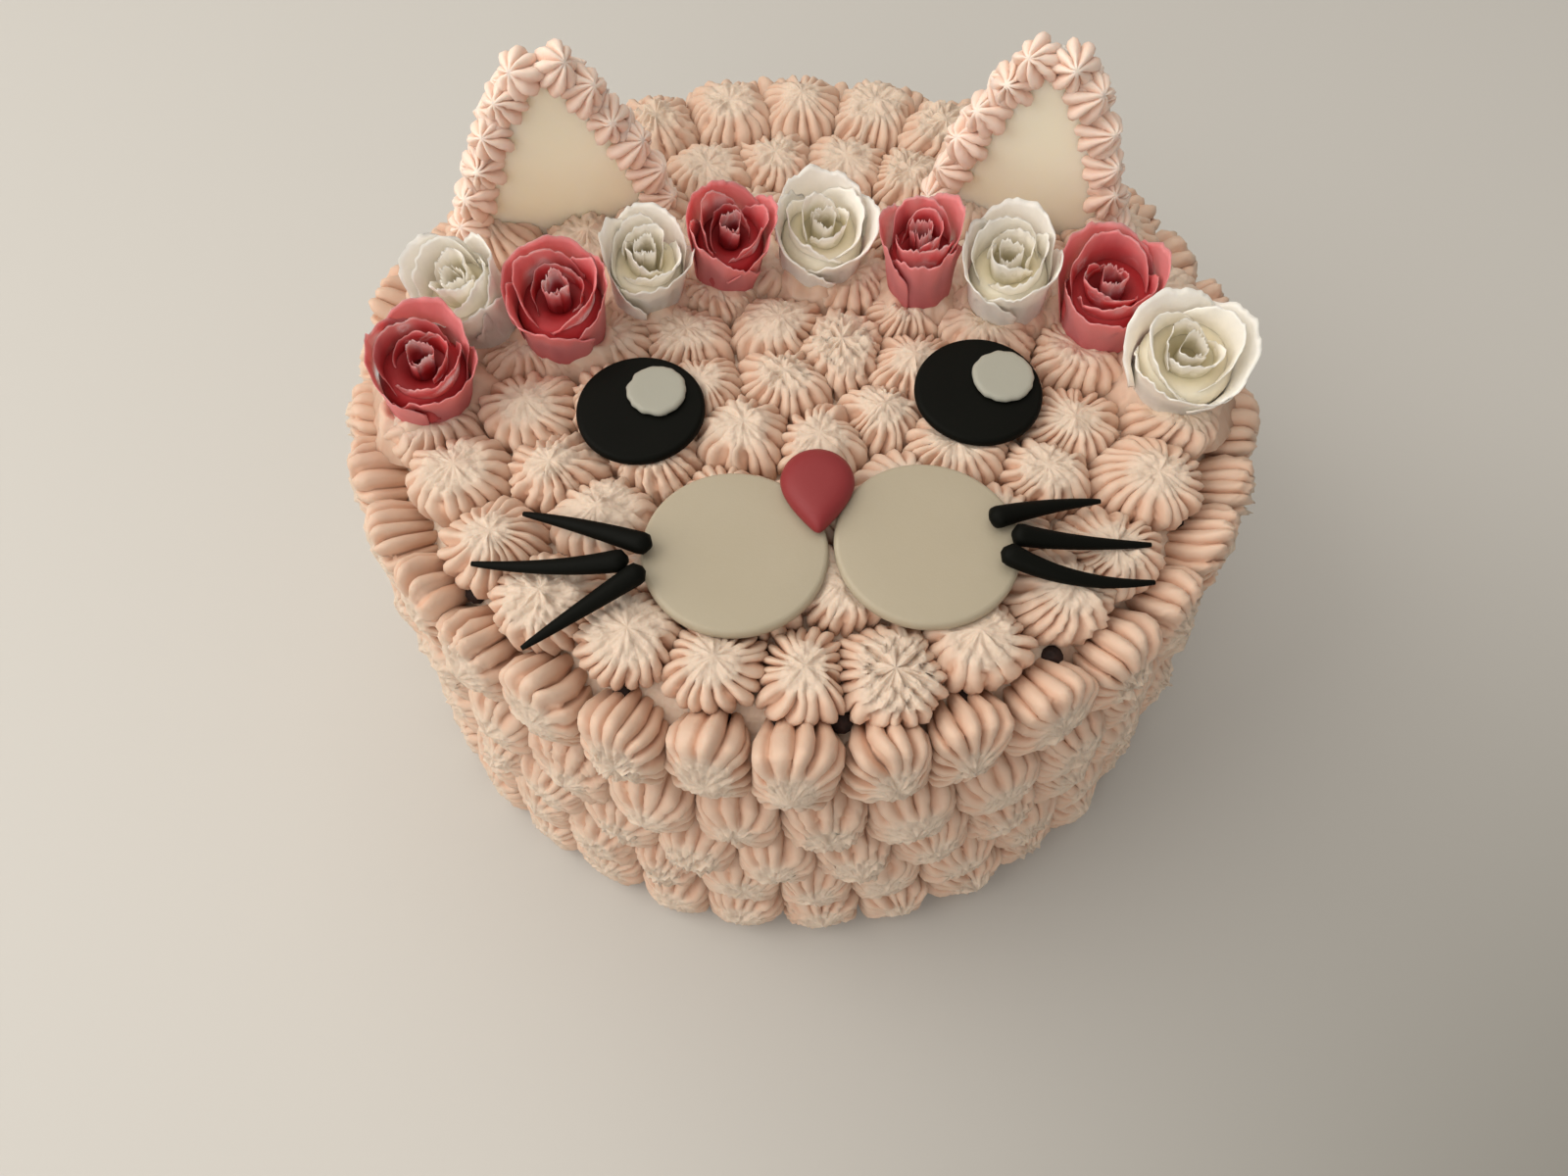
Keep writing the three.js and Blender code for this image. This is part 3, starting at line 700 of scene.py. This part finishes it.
def whiskerStrand(name, points, look):
    high = onCheek + 0.3 + look["endRadius"]
    low = discBed + 0.2 + look["tipRadius"]
    line = [(x, y, z) for (x, y), z in zip(points, (high, (high + low) / 2, low))]
    profile = [(0, 0)]
    for i in range(look["along"] + 1):
        t = i / look["along"]
        rounded = math.sqrt(max(0.0, 1 - (1 - min(1.0, t / look["blunt"])) ** 2))
        blunt = min(1.0, rounded + (0.25 if i == 0 else 0))
        profile.append(((look["endRadius"] * (1 - t) ** 0.85 + look["tipRadius"] * t) * blunt, t))
    bm = bmesh.new()
    spinProfile(bm, profile + [(0, 1)], look["around"])
    for v in bm.verts:
        t = v.co.z
        ahead = (bendThrough(line, min(1, t + 0.02)) - bendThrough(line, max(0, t - 0.02))).normalized()
        side = Vector((0, 0, 1)).cross(ahead).normalized()
        v.co = bendThrough(line, t) + side * v.co.x + ahead.cross(side) * v.co.y * look["flat"]
    objectFrom(bm, name + "Strand", blackPaste, name)


for name, points in whiskers.items():
    whiskerStrand(name, points, whiskerLook)
print("face done")

ears = {
    "left": {"at": (-55.3, 41.0), "halfWidth": 24.5, "height": 47, "yaw": 13},
    "right": {"at": (52.7, 41.0), "halfWidth": 22.0, "height": 49, "yaw": -15},
}
earLook = {"foot": 103, "thick": 3.4, "tip": 4, "bulge": 2.5, "pitch": 8.6, "edge": 0.9}
beadLook = {
    **starLook,
    "radius": 5.2,
    "height": 6.4,
    "lap": 1.0,
    "ribs": 8,
    "depth": 1.8,
    "hub": 0.16,
    "power": 2.0,
    "base": 0.1,
    "vary": 0.3,
    "claw": 0.8,
    "lumpy": 0.5,
    "levels": [0, 0.16, 0.3, 0.44, 0.58, 0.7, 0.82, 0.92, 1.0, 1.3, 2.0],
}
# Two rows of beads run along each edge of an ear. shift says in steps of the pitch where the first bead sits,
# back how far back its foot is, and axis how it points: outwards, towards the back and up.
beadRows = [
    {"shift": 0.0, "back": -1.2, "axis": (0.42, -0.72, 0.55), "size": 0.94},
    {"shift": 0.5, "back": 1.4, "axis": (0.86, 0.1, 0.5), "size": 0.82},
]


def earEdge(ear, t):
    bow = earLook["bulge"] * math.sin(math.pi * t)
    return ear["halfWidth"] + (earLook["tip"] - ear["halfWidth"]) * t + bow, ear["height"] * t


def earFrame(ear):
    turned = Matrix.Rotation(math.radians(ear["yaw"]), 4, "Z")
    return Matrix.Translation((*ear["at"], earLook["foot"])) @ turned


def earPanel(side, ear):
    bm = bmesh.new()
    steps = 16
    half = [earEdge(ear, i / steps) for i in range(steps + 1)]
    outline = half + [(-x, z) for x, z in reversed(half)]
    face = bm.faces.new([bm.verts.new((x, -earLook["thick"] / 2, z)) for x, z in outline])
    pulled = bmesh.ops.extrude_face_region(bm, geom=[face])["geom"]
    farSide = [part for part in pulled if isinstance(part, bmesh.types.BMVert)]
    bmesh.ops.translate(bm, vec=(0, earLook["thick"], 0), verts=farSide)
    bmesh.ops.recalc_face_normals(bm, faces=bm.faces)
    rim = [e for e in bm.edges if abs(e.verts[0].co.y - e.verts[1].co.y) < 1e-6]
    bmesh.ops.bevel(bm, geom=rim, offset=earLook["edge"], affect="EDGES", segments=3, profile=0.5,
                    material=-1)
    bmesh.ops.transform(bm, matrix=earFrame(ear), verts=bm.verts)
    objectFrom(bm, "ear_" + side + "Panel", earPaste, "ear_" + side)


def earStars(side, ear):
    small = starBlank(beadLook["ribs"], beadLook)
    base = coordsOf(small)
    count = round(math.hypot(ear["halfWidth"] - earLook["tip"], ear["height"]) / earLook["pitch"])
    beads = [(sign, row, i) for sign in (-1, 1) for row in beadRows
             for i in range(count + 1 - (row["shift"] > 0))]
    bm = bmesh.new()
    for _ in beads:
        bm.from_mesh(small)
    piece = objectFrom(bm, "ear_piping_" + side + "Stars", earCream, "ear_piping_" + side)
    place = np.array(earFrame(ear))
    made, creases = [], []
    for number, (sign, row, i) in enumerate(beads):
        seed = 3000 + number + ear["height"]
        star = {"seed": seed, "ribs": beadLook["ribs"], "tall": 1.0, "lean": (0, 0)}
        x, y, z, crease = shapeStar(-base[:, 2], np.arctan2(base[:, 1], base[:, 0]), star, [], beadLook)
        # Its foot sits on the edge of the ear and its peak points away from it.
        outward, backward, upward = row["axis"]
        axis = Vector((sign * outward + 0.16 * swing(seed), backward, upward + 0.16 * swing(seed + 0.4)))
        axis.normalize()
        across = axis.cross(Vector((0, 0, 1))).normalized()
        edgeX, edgeZ = earEdge(ear, 1 - (i + row["shift"]) / count)
        drop = 2.8 if i == 0 else 1.0
        foot = np.array((sign * (edgeX - 0.2), row["back"], edgeZ - drop)) - 1.6 * np.array(axis)
        shape = np.outer(x, across) + np.outer(y, across.cross(axis)) + np.outer(z, axis)
        points = foot + row["size"] * shape
        made.append(points @ place[:3, :3].T + place[:3, 3])
        creases.append(crease)
    points = np.concatenate(made)
    lift = 0.2 * wobble(points, 3.5, 21) + 0.1 * wobble(points, 1.4, 22)
    placePoints(piece, points + lift[:, None] * np.array((0.6, 0.6, 0.5)), np.concatenate(creases))
    piece.data.flip_normals()  # the frames above mirror the blank
    bpy.data.meshes.remove(small)


for side, ear in ears.items():
    earPanel(side, ear)
    earStars(side, ear)
print("ears done")


# One petal is a grid bent round the axis: u runs across it from -1 to 1, w from its foot to its frayed rim.
# Its sides come down in a curve, and it lies on the cup that widens above the foot.
def addPetal(bm, depthLayer, p, seed):
    verts = bmesh.ops.create_grid(bm, x_segments=p["across"], y_segments=13, size=1.0)["verts"]
    for v in verts:
        u, w = v.co.x, (v.co.y + 1) / 2
        angle = p["start"] + u * p["span"] / 2
        top = p["top"] * (1 - p["round"] * abs(u + p["skew"]) ** 2.4)
        top *= 1 - p["drop"] * max(0.0, -math.sin(angle))  # the front hangs lower
        z = p["low"] + (max(top, p["low"] + 2) - p["low"]) * w
        r = p["foot"] + (p["rim"] - p["foot"]) * max(0.0, z / p["height"]) ** p["belly"]
        r += p["spiral"] * u * w + p["curl"] * max(0.0, w - 0.6) ** 2 * 6.2 * (1 - 0.5 * u * u)
        r += 0.45 * math.sin(3 * angle + seed) * w
        r += 0.8 * p["wavy"] * noise.noise((u * 5, w * 2, seed * 2.1)) * w
        fray = noise.noise((u * 2.5 * p["span"], seed * 3.7, 0)) * 1.1
        fray += noise.noise((u * 13 * p["span"], seed * 1.3, 5)) * 1.0
        z += fray * p["ragged"] * w ** 10 - 0.25 * p["curl"] * max(0.0, w - 0.8) * 5
        v.co = Vector((r * math.cos(angle), r * math.sin(angle), z))
        # Painted shade: the crease value grows towards the petal's foot and darkens it.
        v[depthLayer] = max(0.0, min(1.0, (1 - w) * 1.15 * p["deep"] + p["shade"] * (1 - w ** 3)))
    faces = list({f for v in verts for f in v.link_faces})
    bmesh.ops.solidify(bm, geom=faces, thickness=-p["thick"])


# From the bud outwards: number of petals, how far round each reaches in radians, and radius, foot and height
# as shares of the rose. deep and shade set how much painted shade darkens a petal towards its foot.
petalLook = {"across": 40, "thick": 0.9, "wavy": 0.8, "belly": 1.0}
petalRings = [
    {**petalLook, "count": 2, "span": 3.6, "rim": 0.46, "foot": 0.38, "low": 0.55, "top": 0.95, "round": 0.25,
     "curl": 0.15, "drop": 0.03, "deep": 1.0, "shade": 0.25, "ragged": 0.7},
    {**petalLook, "count": 2, "span": 3.7, "rim": 0.73, "foot": 0.62, "low": 0.45, "top": 1.0, "round": 0.40,
     "curl": 0.5, "drop": 0.14, "deep": 0.7, "shade": 0.08, "ragged": 1.0},
    {**petalLook, "count": 3, "span": 3.0, "rim": 0.92, "foot": 0.72, "low": 0.0, "top": 1.0, "round": 0.40,
     "curl": 1.1, "drop": 0.22, "belly": 0.36, "deep": 0.3, "shade": 0.0, "ragged": 1.1},
]
# A pink rose is more open: a single petal lies round its bud.
openRing = {**petalRings[0], "count": 1, "span": 4.4, "rim": 0.52, "top": 0.9}
budLook = {**petalLook, "across": 70, "thick": 0.7, "wavy": 0.35, "span": 6.9, "foot": 2.7, "round": 0.05,
           "skew": 0, "spiral": 0.42, "curl": 0.1, "drop": 0.0, "deep": 1.3, "shade": 0.2, "ragged": 1.2}
# The closed heart that carries the petals, as shares of the rose's radius and height.
heartProfile = [(0, 0), (0.66, 0), (0.78, 0.12), (0.84, 0.35), (0.84, 0.56), (0.72, 0.66), (0.42, 0.66),
                (0.25, 0.6), (0, 0.58)]


def sugarRose(rose, number):
    rim, height = rose["rim"], rose["height"]
    pink = "pink" in rose["name"]
    rng = np.random.default_rng(400 + number)
    bm = bmesh.new()
    depthLayer = bm.verts.layers.float.new("crease")
    start = rng.uniform(0, 6.28)
    spinProfile(bm, [(rim * r, height * z) for r, z in heartProfile], 28)
    # The top of the heart is darker towards its middle: painted shade deep in the cup.
    for v in bm.verts:
        inward = 1 - math.hypot(v.co.x, v.co.y) / rim
        v[depthLayer] = min(1.0, 0.35 + 0.9 * inward) if v.co.z > height * 0.5 else 0.4
    # The bud is one strip rolled up into a hollow tube.
    bud = {**budLook, "start": start, "rim": rim * 0.22, "low": height * 0.5, "height": height,
           "top": height * rng.uniform(0.86, 0.95)}
    addPetal(bm, depthLayer, bud, number + 0.5)
    for k, ring in enumerate([openRing, *petalRings[1:]] if pink else petalRings):
        for i in range(ring["count"]):
            petal = {**ring, "height": height, "skew": rng.uniform(-0.12, 0.12), "spiral": 0.55 + 0.12 * k}
            petal["start"] = start + k * 1.1 + fullTurn * i / ring["count"] + rng.uniform(-0.2, 0.2)
            petal["span"] = ring["span"] * rng.uniform(0.9, 1.1)
            petal["curl"] = ring["curl"] * rose.get("open", 1.0) * rng.uniform(0.6, 1.3)
            for key, size in (("rim", rim), ("foot", rim), ("low", height), ("top", height)):
                petal[key] = ring[key] * size
            petal["top"] *= rng.uniform(0.93, 1.03)
            addPetal(bm, depthLayer, petal, number * 10 + k * 4 + i)
    place = (Matrix.Translation((*rose["at"], roseFoot)) @ Matrix.Rotation(math.radians(rose["roll"]), 4, "Y")
             @ Matrix.Rotation(math.radians(rose["lean"]), 4, "X"))
    bmesh.ops.transform(bm, matrix=place, verts=bm.verts)
    material, slot = (pinkPetal, "petal_pink") if pink else (whitePetal, "petal_white")
    objectFrom(bm, rose["name"] + "Petals", material, rose["name"])


for number, rose in enumerate(roses):
    sugarRose(rose, number)
print("roses done")

# Cream that the feet of the roses have pushed up round them, as distances from the foot and heights above it.
collarLook = {
    "foot": 0.74,  # share of the rose's radius
    "profile": [(-1.2, -3.0), (-0.4, 3.6), (0.9, 4.6), (2.2, 3.8), (3.8, 2.0), (4.6, -7.0)],
    "inside": 92,  # radius that no collar passes
}


def creamCollars(look):
    bm = bmesh.new()
    for number, rose in enumerate(roses):
        foot = rose["rim"] * look["foot"]
        older = set(bm.verts)
        spinProfile(bm, [(foot + r, z) for r, z in look["profile"]], 48, ring=True)
        for v in [v for v in bm.verts if v not in older]:
            angle = math.atan2(v.co.y, v.co.x)
            swell = 1 + 0.10 * math.sin(2 * angle + number) + 0.06 * math.sin(5 * angle + 2.3 * number)
            lift = 0.9 * math.sin(3 * angle + 1.7 * number) + 0.5 * math.sin(7 * angle + number)
            x = rose["at"][0] + v.co.x * swell
            y = rose["at"][1] + v.co.y * swell
            inside = min(1.0, look["inside"] / math.hypot(x, y))
            v.co = Vector((x * inside, y * inside, roseFoot + v.co.z + (lift if v.co.z > 0 else 0)))
    bmesh.ops.subdivide_edges(bm, edges=bm.edges, cuts=1, use_grid_fill=True, smooth=1.0)
    depthLayer = bm.verts.layers.float.new("crease")
    for v in bm.verts:
        v.co += Vector(noise.noise_vector(v.co / 3.4)) * 1.0 + Vector(noise.noise_vector(v.co / 1.2)) * 0.35
        v[depthLayer] = 0.35 + 0.3 * noise.noise(v.co / 2.5)
    objectFrom(bm, "creamCollars", cream, "piped_cake")


creamCollars(collarLook)
print("collars done")

# The floor's colour darkens towards the front right as painted shade: corner and reach are in metres.
floorLook = {"lit": "#c8c6c1", "shaded": "#75736c", "corner": (0.26, -0.27), "reach": 0.36, "size": 3.0}


def paleFloor(look):
    bm = bmesh.new()
    bmesh.ops.create_grid(bm, x_segments=1, y_segments=1, size=look["size"])
    mesh = bpy.data.meshes.new("paleFloor")
    bm.to_mesh(mesh)
    bm.free()
    floor = bpy.data.objects.new("paleFloor", mesh)
    bpy.context.scene.collection.objects.link(floor)
    material, tree, shader, place = newMaterial("floorWithPaintedShade")
    corner = {"operation": "DISTANCE", 1: (*look["corner"], 0)}
    away = addNode(tree, "ShaderNodeVectorMath", corner, {0: place})
    fade = {"interpolation_type": "SMOOTHSTEP", 1: look["reach"], 2: 0.0}
    share = addNode(tree, "ShaderNodeMapRange", fade, {0: away.outputs["Value"]})
    colour = mixColours(tree, share.outputs["Result"], look["lit"], look["shaded"])
    setShader(tree, shader, {"Roughness": 0.6}, {"Base Color": colour})
    mesh.materials.append(material)


lights = {
    "leftKey": {"at": (-0.97, -0.1, 0.82), "size": 1.3, "power": 9.8, "colour": "#fffaf3"},
    "softTop": {"at": (-0.3, 0.45, 1.47), "size": 1.8, "power": 8.8, "colour": "#fff7ec"},
    "frontFill": {"at": (-0.42, -1.33, 0.95), "size": 1.5, "power": 7.2, "colour": "#fffaf4"},
}
skyLook = {"colour": "#f2ede6", "strength": 0.42}
lampAim = Vector((0, 0, 0.08))


def addLight(name, light):
    data = bpy.data.lights.new(name, "AREA")
    data.shape = "DISK"
    data.size = light["size"]
    data.energy = light["power"]
    data.color = linear(light["colour"])[:3]
    lamp = bpy.data.objects.new(name, data)
    lamp.location = light["at"]
    lamp.rotation_euler = (lampAim - lamp.location).to_track_quat("-Z", "Y").to_euler()
    bpy.context.scene.collection.objects.link(lamp)


def softSky(look):
    world = bpy.data.worlds.new("softSky")
    world.use_nodes = True
    world.node_tree.nodes["Background"].inputs["Color"].default_value = linear(look["colour"])
    world.node_tree.nodes["Background"].inputs["Strength"].default_value = look["strength"]
    bpy.context.scene.world = world


paleFloor(floorLook)
for name, light in lights.items():
    addLight(name, light)
softSky(skyLook)
bpy.context.scene.view_settings.view_transform = "Standard"
print("floor and light done")

# The camera stands in front of the cake and looks down on the face. The pitch is in degrees below level.
cameraLook = {"at": (-0.0040, -0.1741, 0.3075), "pitch": 60.55, "lens": 27.0, "sensor": 36, "nearest": 0.01}
camData = bpy.data.cameras.new("frontCamera")
camData.lens = cameraLook["lens"]
camData.sensor_width = cameraLook["sensor"]
camData.clip_start = cameraLook["nearest"]
camera = bpy.data.objects.new("frontCamera", camData)
camera.location = cameraLook["at"]
camera.rotation_euler = (math.radians(90 - cameraLook["pitch"]), 0, 0)
bpy.context.scene.collection.objects.link(camera)
bpy.context.scene.camera = camera
